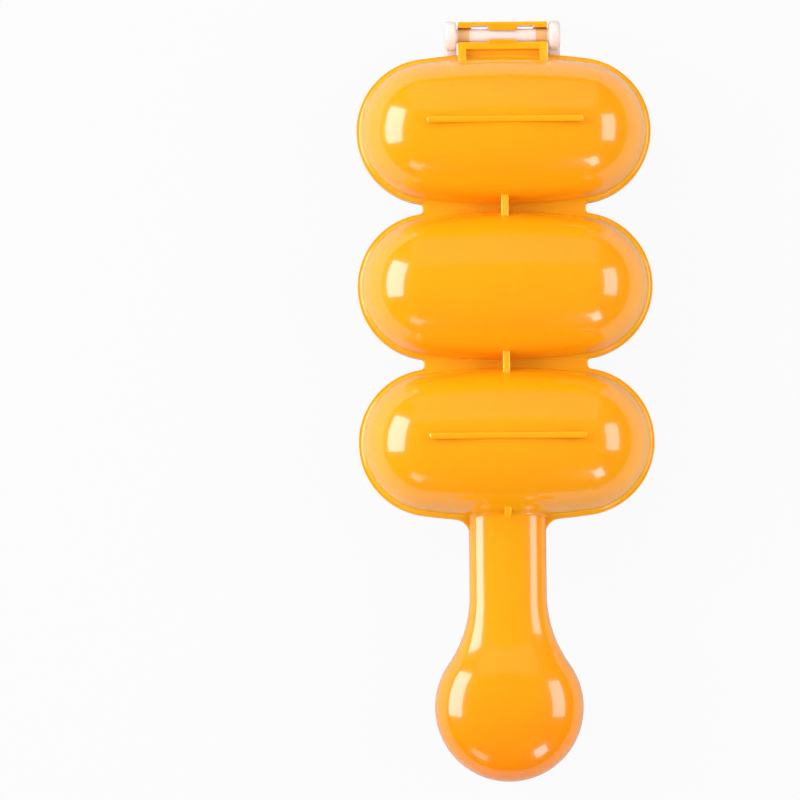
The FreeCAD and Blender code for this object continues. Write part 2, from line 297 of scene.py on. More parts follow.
def outline(arcs, inset):
    """Points and outward normals of a closed outline of tangent arcs, moved in by inset."""
    points, normals = [], []
    for centre, radius, start, end in arcs:
        hollow = end < start
        steps = max(CORNER_STEPS, int(abs(end - start) / ARC_STEP))
        angles = np.linspace(start, end, steps + 1)
        ray = np.stack([np.cos(angles), np.sin(angles)], 1)
        points.append(np.array(centre) + ray * (radius + inset if hollow else radius - inset))
        normals.append(-ray if hollow else ray)
    return np.concatenate(points), np.concatenate(normals)


def round_corners(corners, radius):
    """The arcs that round every corner of a counterclockwise polygon of (x, y) points."""
    arcs = []
    for i, corner in enumerate(corners):
        before, here = Vector(corners[i - 1]), Vector(corner)
        after = Vector(corners[(i + 1) % len(corners)])
        into, out = (here - before).normalized(), (after - here).normalized()
        left_in, left_out = Vector((-into.y, into.x)), Vector((-out.y, out.x))
        hand = 1 if into.cross(out) > 0 else -1
        centre = here + hand * radius * (left_in + left_out) / (1 + left_in.dot(left_out))
        start = math.atan2(-hand * left_in.y, -hand * left_in.x)
        sweep = math.acos(max(-1, min(1, left_in.dot(left_out))))
        arcs.append((tuple(centre), radius, start, start + hand * sweep))
    return arcs


def level_ring(arcs, inset, height, tilt):
    """An outline's points at one height, and its normals tilted up by an angle."""
    flat, out = outline(arcs, inset)
    points = np.column_stack([flat, np.full(len(flat), height)])
    return points, np.column_stack([out * math.cos(tilt), np.full(len(flat), math.sin(tilt))])


def slab(name, arcs, low, high, round_low, round_high, order=(0, 1, 2)):
    """A flat form between two heights with rounded edges. Order turns its axes."""
    quarter = np.linspace(0, math.pi / 2, ROUND_STEPS + 1)
    levels = [
        (round_low * (1 - math.sin(a)), low + round_low * (1 - math.cos(a)), a - math.pi / 2)
        for a in quarter
    ]
    levels += [(round_high * (1 - math.cos(a)), high - round_high * (1 - math.sin(a)), a) for a in quarter]
    rings = []
    for inset, height, tilt in levels:
        points, normals = level_ring(arcs, inset, height, tilt)
        rings.append((points[:, order], normals[:, order]))
    return solid_from_rings(name, rings, UP[list(order)])


def block(name, x, y, z, edge_round=0.0):
    """A box with rounded upper edges and upright corners."""
    corners = [(x[0], y[0]), (x[1], y[0]), (x[1], y[1]), (x[0], y[1])]
    return slab(name, round_corners(corners, edge_round), z[0], z[1], 0.0, edge_round)


# --- The mould's own forms ---


class Plan:
    """Places and radii worked out from the sizes, with the seam at height 0 and the cups up."""

    def __init__(self, sizes):
        self.sizes = sizes
        self.cup_radius = sizes.cavity_mid_radius + sizes.wall
        self.pitch = (FIRST_CUP - LAST_CUP) / (sizes.cups - 1)
        self.end_x = sizes.cavity_half_length - sizes.cavity_end_radius
        self.web_half_length = sizes.cavity_half_length + sizes.wall + sizes.rim_width - sizes.notch_depth
        self.bore_radius = sizes.pin_radius + sizes.pin_clearance
        self.pin_y = HINGE[1]
        self.bar_end = self.pin_y - self.bore_radius
        self.bite = sizes.wall / 2      # how far one form sinks into another, so that they join

    def cup_y(self, row):
        """Where cup number row has its middle. The first is the one beside the hinge."""
        return FIRST_CUP - row * self.pitch

    def barrel(self, grow):
        """Middle, end and crown radii of a barrel moved out by grow, and where its end ball stops."""
        mid = self.sizes.cavity_mid_radius + grow
        end = self.sizes.cavity_end_radius + grow
        crown = (self.end_x ** 2 + mid ** 2 - end ** 2) / (2 * (mid - end))
        return mid, end, crown, math.atan2(crown - mid, self.end_x)

    def on_cup(self, height):
        """How far from a cup's middle its outside lies at a height above the seam."""
        return math.sqrt(self.cup_radius ** 2 - height ** 2)


def barrel_profile(plan, grow):
    """A barrel's meridian from tip to tip, by the direction of its surface normal."""
    mid, end, crown, turn = plan.barrel(grow)
    profile = []
    for angle in np.linspace(math.pi, 0, PROFILE_STEPS + 1):
        place, height, radius = 0, mid - crown, crown
        if angle < turn or angle > math.pi - turn:
            place, height, radius = math.copysign(plan.end_x, math.cos(angle)), 0, end
        lean, out = math.cos(angle), abs(math.sin(angle))
        tip = angle in (0, math.pi)
        profile.append((place + radius * lean, 0 if tip else height + radius * out, lean, out))
    return profile


def handle_profile(plan, shrink):
    """The handle's meridian from the ball's far end to the last cup's middle, moved in by shrink."""
    sizes = plan.sizes
    neck, ball = sizes.neck_radius - shrink, sizes.ball_radius - shrink
    flare = sizes.flare_radius + shrink
    start_y = plan.cup_y(sizes.cups - 1)
    ball_y = start_y - sizes.ball_distance
    flare_y = ball_y + math.sqrt((ball + flare) ** 2 - (neck + flare) ** 2)
    lean = math.atan2(flare_y - ball_y, neck + flare)
    profile = [(ball_y - ball, 0, -1, 0)]
    for angle in np.linspace(-math.pi / 2, lean, PROFILE_STEPS // 2)[1:]:
        along, out = math.sin(angle), math.cos(angle)
        profile.append((ball_y + ball * along, ball * out, along, out))
    for angle in np.linspace(lean, 0, PROFILE_STEPS // 4)[1:]:
        along, out = math.sin(angle), math.cos(angle)
        profile.append((flare_y - flare * along, neck + flare - flare * out, along, out))
    return profile + [(start_y, neck, 0, 1), (start_y, neck, 1, 0), (start_y, 0, 1, 0)]


def mirrored(arcs):
    """The same arcs on the other side of the middle plane, in the order that goes on round."""
    return [
        ((-centre[0], centre[1]), radius, math.pi - end, math.pi - start)
        for centre, radius, start, end in reversed(arcs)
    ]


def rim_arcs(plan):
    """The outline of all rims, the webs between them and the web beside the neck, as arcs."""
    sizes = plan.sizes
    mid, end, crown, turn = plan.barrel(sizes.wall + sizes.rim_width)
    last = sizes.cups - 1
    full = sizes.handle_fullness
    strip = sizes.neck_radius * (1 - (sizes.rim_thickness / sizes.neck_height) ** full) ** (1 / full)
    corner = sizes.neck_web_radius
    crown_y = plan.cup_y(last) + crown - mid
    corner_turn = math.asin((strip + corner) / (crown + corner))
    corner_y = crown_y - (crown + corner) * math.cos(corner_turn)
    strip_end = corner_y - corner
    tiny = sizes.rim_round * TIP_CORNER
    arcs = [((strip - tiny, strip_end + tiny), tiny, -math.pi / 2, 0)]
    arcs.append(((strip + corner, corner_y), corner, math.pi, math.pi / 2 + corner_turn))
    arcs.append(((0, crown_y), crown, -math.pi / 2 + corner_turn, -turn))
    notch = sizes.notch_radius
    notch_x = plan.web_half_length + notch
    rise = math.acos((notch_x - plan.end_x) / (end + notch))
    for row in range(last, 0, -1):
        start = -turn if row == last else -rise
        arcs.append(((plan.end_x, plan.cup_y(row)), end, start, rise))
        low_y = plan.cup_y(row) + (end + notch) * math.sin(rise)
        high_y = plan.cup_y(row - 1) - (end + notch) * math.sin(rise)
        arcs.append(((notch_x, low_y), notch, math.pi + rise, math.pi))
        arcs.append(((notch_x, high_y), notch, math.pi, math.pi - rise))
    arcs.append(((plan.end_x, plan.cup_y(0)), end, -rise, turn))
    top = ((0, plan.cup_y(0) + mid - crown), crown, turn, math.pi - turn)
    return arcs + [top] + mirrored(arcs)


def rims(plan):
    """All rims and webs in one plate with a rounded edge."""
    sizes = plan.sizes
    low, high = SEAM_CLEARANCE, sizes.rim_thickness
    return slab("rims", rim_arcs(plan), low, high, sizes.seam_round, sizes.rim_round)


def bead(plan):
    """The hollow round between a cup and its rim, as a closed collar about a cup at the origin."""
    sizes = plan.sizes
    radius, base = sizes.bead_radius, sizes.rim_thickness
    sunk = plan.cup_radius - plan.on_cup(base + radius)
    levels = [(radius - sunk, base - plan.bite / 2, 0.0)]
    for angle in np.linspace(0, math.pi / 2, ROUND_STEPS + 2):
        grow, height = radius * (1 - math.sin(angle)) - sunk, base + radius * (1 - math.cos(angle))
        levels.append((grow, height, math.pi / 2 - angle))
    rings = []
    for grow, height, tilt in levels:
        mid, end, crown, turn = plan.barrel(sizes.wall + grow)
        right = ((plan.end_x, 0), end, -turn, turn)
        top = ((0, mid - crown), crown, turn, math.pi - turn)
        left = ((-plan.end_x, 0), end, math.pi - turn, math.pi + turn)
        bottom = ((0, crown - mid), crown, math.pi + turn, 2 * math.pi - turn)
        rings.append(level_ring([right, top, left, bottom], 0.0, height, tilt))
    return solid_from_rings("bead", rings, UP)


def neck_root(plan):
    """The round where the neck leaves the last cup: a ring of small hollow arcs about the neck."""
    sizes = plan.sizes
    radius = sizes.neck_root_round
    mid, _, crown, _ = plan.barrel(sizes.wall)
    last_y = plan.cup_y(sizes.cups - 1)
    neck = np.array([sizes.neck_radius, 0, sizes.neck_height])
    columns = []
    for angle in np.linspace(-ROOT_OVERLAP, math.pi + ROOT_OVERLAP, TURN_STEPS // 2):
        (right, up), (facing_right, facing_up) = oval(angle, sizes.handle_fullness)
        out = np.array([facing_right, 0, facing_up]) * neck[::-1]
        out /= np.linalg.norm(out)
        x, _, z = np.array([right, 0, up]) * neck + radius * out
        # A ball of the round's radius rests on the neck and on the cup; this is its middle.
        ring = math.sqrt((crown + radius) ** 2 - x ** 2) - (crown - mid)
        centre = np.array([x, last_y - math.sqrt(ring ** 2 - z ** 2), z])
        spoke = np.array([0, centre[1] - last_y, z]) / ring
        away = np.array([x, 0, 0]) + spoke * (ring + crown - mid)
        to_cup = -away / np.linalg.norm(away)
        to_neck = -out
        bend = math.acos(np.dot(to_cup, to_neck))
        points, normals = [], []
        for share in np.linspace(0, 1, ROUND_STEPS * 2 + 1):
            ray = math.sin((1 - share) * bend) * to_neck + math.sin(share * bend) * to_cup
            ray /= math.sin(bend)
            points.append(centre + radius * ray)
            normals.append(-ray)
        inner = centre + np.array([0, radius * 2, 0]) - out * (radius + sizes.wall / 2)
        points.append(inner)
        normals.append(np.array([0.0, 1.0, 0.0]))
        columns.append((np.array(points), np.array(normals)))
    return solid_from_rings("neck_root", columns, -UP)


def between_cups(plan, name, half, height, top, edge_round):
    """A block across from the first cup to the next, which it joins at a height above the seam."""
    middle = plan.cup_y(0) - plan.pitch / 2
    reach = plan.pitch / 2 - plan.on_cup(height) + plan.bite
    y, z = (middle - reach, middle + reach), (plan.bite, top)
    return block(name, (-half, half), y, z, edge_round)


def web(plan):
    """The thin plate between two cups, a hair above the rims."""
    half, height = plan.web_half_length - plan.sizes.rim_round, plan.sizes.rim_thickness
    return between_cups(plan, "web", half, height, height + SEAM_CLEARANCE, SEAM_CLEARANCE)


def gusset(plan):
    """The small upright rib across a web."""
    half, height = plan.sizes.gusset_thickness / 2, plan.sizes.gusset_height
    return between_cups(plan, "gusset", half, height, height, plan.sizes.gusset_round)


def neck_gusset(plan):
    """The rib that slopes from the last cup down onto the neck."""
    sizes = plan.sizes
    half, edge = sizes.gusset_thickness / 2, sizes.gusset_round
    last_y = plan.cup_y(sizes.cups - 1)
    on_cup = last_y - plan.on_cup(sizes.neck_gusset_height) + plan.bite
    toe = last_y - sizes.neck_gusset_reach
    root = sizes.neck_height - plan.bite
    corners = [(toe, root), (on_cup, root), (on_cup, sizes.neck_gusset_height), (toe, sizes.neck_height)]
    return slab("neck_gusset", round_corners(corners, edge), -half, half, edge, edge, ON_EDGE)


def foot(plan):
    """The long rib by a cup's crest, flat on top, for a cup at the origin."""
    sizes = plan.sizes
    long = (-sizes.foot_half_length, sizes.foot_half_length)
    wide = (sizes.foot_offset - sizes.foot_width / 2, sizes.foot_offset + sizes.foot_width / 2)
    high = (plan.cup_radius - plan.bite, plan.cup_radius + sizes.foot_stand)
    return block("foot", long, wide, high, sizes.foot_round)


def hook_forms(plan):
    """The upper shell's half of the hinge: two bars, straps under the pin and lugs over it."""
    sizes = plan.sizes
    wide, high, edge = sizes.hook_half_width, sizes.hook_height, sizes.hook_round
    pin_y, bore, bar_end = plan.pin_y, plan.bore_radius, plan.bar_end
    x = (-wide, wide)
    near = block("hook_near_bar", x, (bar_end - sizes.hook_bar, bar_end), (0, high), edge)
    face_y = pin_y + bore
    tip_y, notch_y = face_y + sizes.hook_tip_bar, face_y + sizes.window_notch
    window = sizes.window_half_width
    corners = [(wide, tip_y), (-wide, tip_y), (-wide, face_y), (-window, face_y), (-window, notch_y)]
    corners += [(window, notch_y), (window, face_y), (wide, face_y)]
    small = sizes.window_notch / 2
    far = slab("hook_far_bar", round_corners(corners, small), 0, high, 0.0, small)
    root_y = FIRST_CUP + plan.cup_radius - plan.bite
    floor = block("hook_floor", x, (root_y, bar_end), (0, sizes.rim_thickness), sizes.seam_round)
    forms = [near, far, floor]
    root, tip = sizes.lug_root_half_width, sizes.lug_tip_half_width
    for side in (-1, 1):
        back_y, front_y = pin_y + side * (bore + plan.bite), pin_y + side * bore
        nose_y = pin_y + side * sizes.lug_gap / 2
        if side > 0:
            back_y += sizes.window_notch
        lug = [(-root, back_y), (root, back_y), (root, front_y)]
        lug += [(tip, nose_y), (-tip, nose_y), (-root, front_y)]
        lug = round_corners(lug if side < 0 else lug[::-1], sizes.lug_round)
        forms.append(slab("lug", lug, 0, high, 0.0, sizes.lug_round))
        forms.append(strap(plan, sorted((side * window, side * wide))))
        forms.append(cheek(plan, sorted((side * (wide - sizes.cheek_thickness), side * wide))))
    return forms


def strap(plan, x):
    """One strap of the cradle: half a tube under the pin, between two values of X."""
    outer = plan.bore_radius + plan.sizes.cradle_wall
    edge = plan.sizes.hook_round
    corners = [(0, 0), (plan.pin_y + outer, edge), (plan.pin_y - outer, edge)]
    arcs = [((plan.pin_y, 0), outer, math.pi, 2 * math.pi)] + round_corners(corners, STRAP_CORNER)[1:]
    return slab("strap", arcs, x[0], x[1], edge / 4, edge / 4, ON_EDGE)


def cheek(plan, x):
    """A side wall of the hook that climbs from its bar onto the first cup."""
    sizes = plan.sizes
    bar_end, top = plan.bar_end, sizes.hook_height
    cup_y = FIRST_CUP + plan.on_cup(sizes.cheek_height) - sizes.wall
    corners = [(cup_y, 0), (bar_end, 0), (bar_end, top), (bar_end - sizes.hook_bar, top)]
    corners.append((cup_y, sizes.cheek_height))
    edge = sizes.hook_round / 2
    return slab("cheek", round_corners(corners, edge), x[0], x[1], edge, edge, ON_EDGE)


def ear(plan, side):
    """One of the lower shell's ears: a round head on a bracket from the first cup."""
    sizes = plan.sizes
    inner = sizes.hook_half_width + sizes.ear_gap
    x = sorted((side * inner, side * (inner + sizes.ear_thickness)))
    depth, head, pin_y = sizes.ear_bracket_depth, sizes.ear_radius, plan.pin_y
    foot_y = FIRST_CUP + plan.on_cup(depth) - sizes.wall
    away = math.hypot(pin_y - foot_y, depth)
    lean = math.atan2(depth, foot_y - pin_y) - math.acos(head / away)
    edge = sizes.ear_round
    toe = Vector((foot_y, depth))
    touch = Vector((pin_y + head * math.cos(lean), head * math.sin(lean)))
    before = round_corners([tuple(touch), tuple(toe), (foot_y, 0), (pin_y - head, 0)], edge)[1:3]
    arcs = [((pin_y, 0), head, -math.pi, lean)] + before
    return slab("ear", arcs, x[0], x[1], edge, edge, ON_EDGE)


def ear_forms(plan):
    """The lower shell's half of the hinge: two ears and the pin bar moulded between them."""
    sizes = plan.sizes
    half = sizes.hook_half_width + sizes.ear_gap + sizes.ear_thickness / 2
    centre = (plan.pin_y, 0)
    forms = [ear(plan, -1), ear(plan, 1), cylinder("pin_bar", sizes.pin_radius, -half, half, centre)]
    for side in (-1, 1):
        low, high = sorted((side * (sizes.window_half_width + plan.bite), side * sizes.hook_half_width))
        forms.append(cylinder("pin_end", sizes.pin_radius + SEAM_CLEARANCE, low, high, centre))
    return forms


# --- Node trees ---


def new_tree(name, inputs):
    """An empty node tree with named inputs and a geometry going in and out."""
    tree = bpy.data.node_groups.new(name, "GeometryNodeTree")
    tree.interface.new_socket("Geometry", in_out="INPUT", socket_type="NodeSocketGeometry")
    tree.interface.new_socket("Geometry", in_out="OUTPUT", socket_type="NodeSocketGeometry")
    for label, kind in inputs:
        tree.interface.new_socket(label, in_out="INPUT", socket_type="NodeSocket" + kind)
    return tree, tree.nodes.new("NodeGroupInput").outputs, tree.nodes.new("NodeGroupOutput").inputs


def add_node(tree, kind, links=(), **settings):
    """A new node with its settings and its inputs linked, as pairs of input and source."""
    node = tree.nodes.new(kind)
    for key, value in settings.items():
        setattr(node, key, value)
    for target, source in links:
        tree.links.new(source, node.inputs[target])
    return node


def row_tree():
    """Instances of an object in a row along Y that starts at First and goes on by Step."""
    inputs = [("Object", "Object"), ("Count", "Int"), ("First", "Float"), ("Step", "Float")]
    tree, given, result = new_tree("Row", inputs)
    start = add_node(tree, "ShaderNodeCombineXYZ", [("Y", given["First"])])
    step = add_node(tree, "ShaderNodeCombineXYZ", [("Y", given["Step"])])
    links = [("Count", given["Count"]), ("Start Location", start.outputs[0]), ("Offset", step.outputs[0])]
    places = add_node(tree, "GeometryNodeMeshLine", links, mode="OFFSET")
    form = add_node(tree, "GeometryNodeObjectInfo", [("Object", given["Object"])])
    links = [("Points", places.outputs[0]), ("Instance", form.outputs["Geometry"])]
    row = add_node(tree, "GeometryNodeInstanceOnPoints", links)
    tree.links.new(row.outputs[0], result[0])
    return tree


def shell_tree(values):
    """A half shell: rows of cups and ribs joined with the one-off forms, then hollowed and cut.

    Its inputs are named and typed as the values are that go into it.
    """
    kinds = [(label, type(value).__name__.capitalize()) for label, value in values.items()]
    tree, given, result = new_tree("Half Shell", kinds)
    row = row_tree()

    def in_row(form, count, step, first=None):
        links = [("Object", given[form]), ("Count", given[count]), ("Step", given[step])]
        links += [("First", given[first])] if first else []
        return add_node(tree, "GeometryNodeGroup", links, node_tree=row).outputs[0]

    def boolean(operation, first, others):
        node = add_node(tree, "GeometryNodeMeshBoolean", operation=operation, solver="MANIFOLD")
        if first:
            tree.links.new(first, node.inputs["Mesh 1"])
        for other in others:
            tree.links.new(other, node.inputs["Mesh 2"])
        return node.outputs["Mesh"]

    def children(collection):
        node = add_node(tree, "GeometryNodeCollectionInfo", [("Collection", given[collection])])
        node.inputs["Separate Children"].default_value = True
        return node.outputs[0]

    cups = in_row("Cup", "Cups", "Cup Step", "First Cup")
    fillets = in_row("Rim Fillet", "Cups", "Cup Step", "First Cup")
    feet = in_row("Foot Rib", "Foot Ribs", "Foot Step", "First Cup")
    gussets = in_row("Gusset", "Gussets", "Cup Step")
    webs = in_row("Web", "Gussets", "Cup Step")
    hollows = in_row("Cup Hollow", "Cups", "Cup Step", "First Cup")
    outside = boolean("UNION", None, [cups, fillets, feet, gussets, webs, children("Outside")])
    handle = add_node(tree, "GeometryNodeObjectInfo", [("Object", given["Handle Hollow"])])
    handle_hollow = boolean("DIFFERENCE", handle.outputs["Geometry"], [cups])
    shell = boolean("DIFFERENCE", outside, [hollows, handle_hollow, children("Cuts")])
    real = add_node(tree, "GeometryNodeRealizeInstances", [(0, shell)])
    links = [("Geometry", real.outputs[0]), ("Material", given["Material"])]
    dressed = add_node(tree, "GeometryNodeSetMaterial", links)
    tree.links.new(dressed.outputs[0], result[0])
    return tree


def carry_normals(mesh):
    """Turns the carried normals into the mesh's own. A cut face has its cutter's, turned round."""
    carried = column(mesh.attributes[NORMAL].data, "vector", width=3).astype(float)
    corners = column(mesh.polygons, "loop_total", np.int32)
    flat = np.repeat(column(mesh.polygons, "normal", width=3), corners, axis=0)
    along = np.sum(carried * flat, axis=1)
    carried *= np.where(along < 0, -1.0, 1.0)[:, None]
    lengths = np.linalg.norm(carried, axis=1)
    usable = (np.abs(along) > LEAST_ALIGNED * lengths) & (lengths > LEAST_LENGTH)
    normals = np.where(usable[:, None], carried, flat)
    normals /= np.linalg.norm(normals, axis=1)[:, None]
    mesh.attributes.remove(mesh.attributes[NORMAL])
    mesh.polygons.foreach_set("use_smooth", [True] * len(mesh.polygons))
    mesh.normals_split_custom_set(normals.tolist())


def half_shell(name, plan, hinge_forms, hinge_cuts, material, place):
    """One half shell as a finished mesh object, put in its place by a matrix."""
    sizes = plan.sizes
    scratch = []

    def keep(form):
        scratch.append(form)
        return form

    def gather(label, forms):
        collection = bpy.data.collections.new(label)
        for form in forms:
            collection.objects.link(keep(form))
        return collection

    def handle_form(label, shrink):
        flatness = (sizes.neck_height - shrink) / (sizes.neck_radius - shrink)
        form = lathe(label, handle_profile(plan, shrink), ALONG_Y, flatness, sizes.handle_fullness)
        ball, ball_y = sizes.ball_radius, plan.cup_y(sizes.cups - 1) - sizes.ball_distance
        # The handle is painted darker towards the ball's far end, as painted shade.
        return faded(form, 1, ball_y + ball * BALL_SHADE_FADE, ball_y - ball)

    forms = [rims(plan), handle_form("handle", 0), neck_root(plan), neck_gusset(plan)]
    outside = gather("outside", forms + hinge_forms)
    below_y = (-BEYOND, plan.bar_end - sizes.hook_bar - plan.bite)
    below = block("below_seam", (-BEYOND, BEYOND), below_y, (-BEYOND, SEAM_CLEARANCE))
    cuts = gather("cuts", [below] + hinge_cuts)
    cup = lathe("cup", barrel_profile(plan, sizes.wall), ALONG_X)
    piece = bpy.data.objects.new(name, bpy.data.meshes.new(name))
    bpy.context.scene.collection.objects.link(piece)
    modifier = piece.modifiers.new("Half Shell", "NODES")
    values = {
        # The cup is painted paler towards the seam, as painted fill light on its lower flanks.
        "Cup": keep(faded(cup, 2, *CUP_LIGHT_FADE)),
        "Cup Hollow": keep(lathe("cup_hollow", barrel_profile(plan, 0), ALONG_X)),
        "Rim Fillet": keep(bead(plan)),
        "Foot Rib": keep(foot(plan)),
        "Gusset": keep(gusset(plan)),
        "Web": keep(web(plan)),
        "Handle Hollow": keep(handle_form("handle_hollow", sizes.wall)),
        "Outside": outside,
        "Cuts": cuts,
        "Cups": sizes.cups,
        "Foot Ribs": sizes.feet,
        "Gussets": sizes.cups - 1,
        "First Cup": FIRST_CUP,
        "Cup Step": -plan.pitch,
        "Foot Step": -plan.pitch * (sizes.cups - 1) / (sizes.feet - 1),
        "Material": material,
    }
    modifier.node_group = shell_tree(values)
    for item in modifier.node_group.interface.items_tree:
        if item.item_type == "SOCKET" and item.name in values:
            modifier[item.identifier] = values[item.name]
    graph = bpy.context.evaluated_depsgraph_get()
    mesh = bpy.data.meshes.new_from_object(piece.evaluated_get(graph))
    piece.modifiers.clear()
    piece.data = mesh
    mesh.name = name
    carry_normals(mesh)
    mesh.transform(place)
    for collection in (outside, cuts):
        bpy.data.collections.remove(collection)
    for form in scratch:
        bpy.data.objects.remove(form)
    return piece


# --- Materials ---


MIX_SOCKETS = ("Factor_Float", "A_Color", "B_Color")
CLOUD_EDGES = 0.3, 0.7          # the noise's values at which a cloud begins and is whole
CLOUD_TONE = 0.97               # the deepest cloud's share of the full colour
ORANGE_CLOUDS = 18              # the noise's scale, as clouds to a metre
MILK_CLOUDS = 30
GLOSSY_FLOOR = 0.1              # how far gloss sees the floor as the camera does
FLOOR_WHITE = 0.93              # how far the camera sees the floor as white


def new_material(name):
    """A node material with its shader, and its nodes and links."""
    material = bpy.data.materials.new(name)
    material.use_nodes = True
    nodes, links = material.node_tree.nodes, material.node_tree.links
    return material, nodes, links, nodes["Principled BSDF"]


def set_sockets(shader, values):
    """Sets constants on a shader's own sockets."""
    for socket, value in values.items():
        shader.inputs[socket].default_value = value


def calculate(nodes, links, operation, *terms):
    """What a math node makes of its terms, each a socket or a number."""
    node = nodes.new("ShaderNodeMath")
    node.operation = operation
    for slot, term in zip(node.inputs, terms):
        if isinstance(term, bpy.types.NodeSocket):
            links.new(term, slot)
        else:
            slot.default_value = term
    return node.outputs[0]


def pigment(nodes, links, colour, cloud_scale):
    """A colour that drifts a little in soft clouds on the piece, as a plastic's pigment does."""
    place = nodes.new("ShaderNodeTexCoord")
    cloud = nodes.new("ShaderNodeTexNoise")
    cloud.inputs["Scale"].default_value = cloud_scale
    cloud.inputs["Detail"].default_value = 2
    links.new(place.outputs["Object"], cloud.inputs["Vector"])
    tone = nodes.new("ShaderNodeValToRGB")
    for element, position, share in zip(tone.color_ramp.elements, CLOUD_EDGES, (CLOUD_TONE, 1.0)):
        element.position = position
        element.color = (*[c * share for c in colour], 1)
    links.new(cloud.outputs["Fac"], tone.inputs["Fac"])
    return tone.outputs["Color"]


def choose(nodes, links, share, otherwise, chosen):
    """A mix of two shaders, by a share of the chosen one."""
    mix = nodes.new("ShaderNodeMixShader")
    for socket, source in zip(mix.inputs, (share, otherwise, chosen)):
        links.new(source, socket)
    return mix.outputs[0]


def by_mark(nodes, links, mark, colour, marked_colour):
    """A colour that gives way to another as the forms' marks say, and turns away from it below 0."""
    share = nodes.new("ShaderNodeAttribute")
    share.attribute_name = mark
    mix = nodes.new("ShaderNodeMix")
    mix.data_type = "RGBA"
    mix.clamp_factor = False
    mix.clamp_result = True
    factor, plain, other = (next(s for s in mix.inputs if s.identifier == key) for key in MIX_SOCKETS)
    links.new(share.outputs["Fac"], factor)
    links.new(colour, plain)
    other.default_value = (*marked_colour, 1)
    return next(s for s in mix.outputs if s.identifier == "Result_Color")


def orange_plastic(colour, thin_and_lit_colour):
    """Glossy orange polypropylene, in which light spreads a few millimetres. Painted paler where thin and
    where shade falls, as painted fill light, and darker at the ball's far end, as painted shade.
    """
    material, nodes, links, shader = new_material("orange_plastic")
    # The base colour mixes in painted fill light and painted shade, as the forms' marks say.
    base = by_mark(nodes, links, LIGHT_AND_THINNESS, pigment(nodes, links, colour, ORANGE_CLOUDS), thin_and_lit_colour)
    links.new(base, shader.inputs["Base Color"])
    set_sockets(shader, {
        "Roughness": 0.2,
        "Specular IOR Level": 0.5,
        "Specular Tint": (1.0, 0.5, 1.0, 1),
        "Coat Weight": 1.0,
        "Coat Roughness": 0.06,
        "Subsurface Weight": 0.6,
        "Subsurface Radius": (1.0, 0.7, 0.1),
        "Subsurface Scale": 0.003,
    })
    return material


def milky_plastic(colour, show_through_colour):
    """Milky see-through polypropylene, painted peach where the orange half shines through it, as painted
    show-through of light.
    """
    material, nodes, links, shader = new_material("milky_plastic")
    # The pin's ends get the painted show-through colour.
    base = by_mark(nodes, links, SHOW_THROUGH, pigment(nodes, links, colour, MILK_CLOUDS), show_through_colour)
    links.new(base, shader.inputs["Base Color"])
    set_sockets(shader, {
        "Roughness": 0.25,
        "Transmission Weight": 0.35,
        "Subsurface Weight": 0.8,
        "Subsurface Radius": (1.0, 0.8, 0.75),
        "Subsurface Scale": 0.003,
    })
    return material


def floor_material(colour):
    """A pale floor that renders as plain white and keeps a faint shadow."""
    material, nodes, links, shader = new_material("floor")
    set_sockets(shader, {"Base Color": (*colour, 1), "Roughness": 0.9, "Specular IOR Level": 0.0})
    path = nodes.new("ShaderNodeLightPath").outputs
    seen = calculate(nodes, links, "MAXIMUM", path["Is Camera Ray"], path["Is Transmission Ray"])
    seen = calculate(nodes, links, "MULTIPLY_ADD", path["Is Glossy Ray"], GLOSSY_FLOOR, seen)
    share = calculate(nodes, links, "MULTIPLY", seen, FLOOR_WHITE)
    white = nodes.new("ShaderNodeEmission")
    white.inputs["Color"].default_value = (1, 1, 1, 1)
    mixed = choose(nodes, links, share, shader.outputs[0], white.outputs[0])
    links.new(mixed, nodes["Material Output"].inputs["Surface"])
    return material


# --- Stage ---

CAMERA_TARGET = (-0.03419, -0.00006, HINGE[2])
CAMERA_DISTANCE = 1.3
CAMERA_LENS = 181.62            # millimetres on a 36 mm sensor
CAMERA_TILT, CAMERA_YAW, CAMERA_ROLL = (math.radians(angle) for angle in (4.273, 0.063, 0.490))
AMBIENT = 0.52, 0.90            # the world's brightness, lowest beyond the handle and highest overhead
SIDE_SHARE = 0.50               # how far the horizon beside the mould is on the way between the two
BACK_SHARE = 0.45               # how far the horizon behind the hinge is beyond that
CEILING = 0.01                  # the world's brightness as gloss sees it
LAMP_AIM = (0, 0.01, HINGE[2])
FLOOR_REACH = 6.0

# Each lamp's lean from upright to +X and +Y in degrees, its distance, its breadth and height, and
# its radiance, which is its brightness as seen. All of them face LAMP_AIM.
LAMPS = {
    "softbox_left": ((-62.5, 10.4), 1.1, (1.00, 0.64), 6.3),
    "softbox_right": ((52.5, 3.4), 1.1, (0.76, 0.46), 4.1),
    "softbox_back": ((0, 57), 1.5, (1.6, 1.4), 0.26),
    "kicker_left": ((-48.6, -57.7), 1.5, (0.44, 0.30), 2.2),
    "kicker_right": ((45, -52.5), 1.5, (0.34, 0.42), 5.6),
}


def put_facing(name, data, axes, place):
    """An object with the given X, Y and Z axes at a place, linked to the scene."""
    thing = bpy.data.objects.new(name, data)
    matrix = Matrix(axes).transposed().to_4x4()
    matrix.translation = place
    thing.matrix_world = matrix
    bpy.context.scene.collection.objects.link(thing)
    return thing


